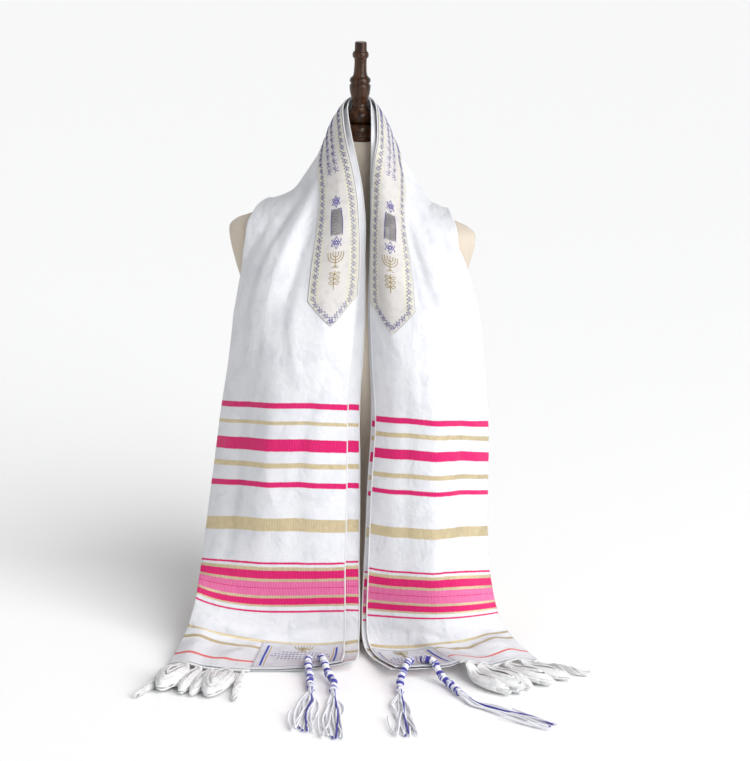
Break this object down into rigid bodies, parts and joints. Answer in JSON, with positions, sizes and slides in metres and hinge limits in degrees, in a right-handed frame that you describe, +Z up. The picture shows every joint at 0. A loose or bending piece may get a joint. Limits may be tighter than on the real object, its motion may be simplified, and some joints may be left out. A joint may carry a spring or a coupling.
{
  "type": "tallit prayer shawl on a dress form",
  "caption": "Rectangular prayer shawl folded lengthwise and hung round the neck of a limbless dress form, with neckband, corner patches, corner tassels and fringe.",
  "frame": {"origin": "centre of the dress form's flat underside", "axes": "+Z up, -Y towards the front where the two halves hang, +X to the viewer's right of the front"},
  "size_m": [0.6311, 0.5699, 0.8732],
  "materials": {
    "shawl_cloth": "satin weave with crinkled figure",
    "band_satin": "cream satin",
    "patch_satin": "off-white satin",
    "fringe_floss": "silky floss",
    "tassel_cord": "twisted cotton, white and blue",
    "form_linen": "linen",
    "turned_wood": "dark gloss varnish"
  },
  "bodies": {
    "root": {"tallit_cloth": "shawl_cloth", "atarah": "band_satin", "corner_patch_left": "patch_satin", "corner_patch_right": "patch_satin", "fringe_left": "fringe_floss", "fringe_right": "fringe_floss", "tzitzit_left_a": "tassel_cord", "tzitzit_left_b": "tassel_cord", "tzitzit_right_a": "tassel_cord", "tzitzit_right_b": "tassel_cord", "form_torso": "form_linen", "neck_cap": "turned_wood", "finial": "turned_wood"}
  },
  "joints": []
}
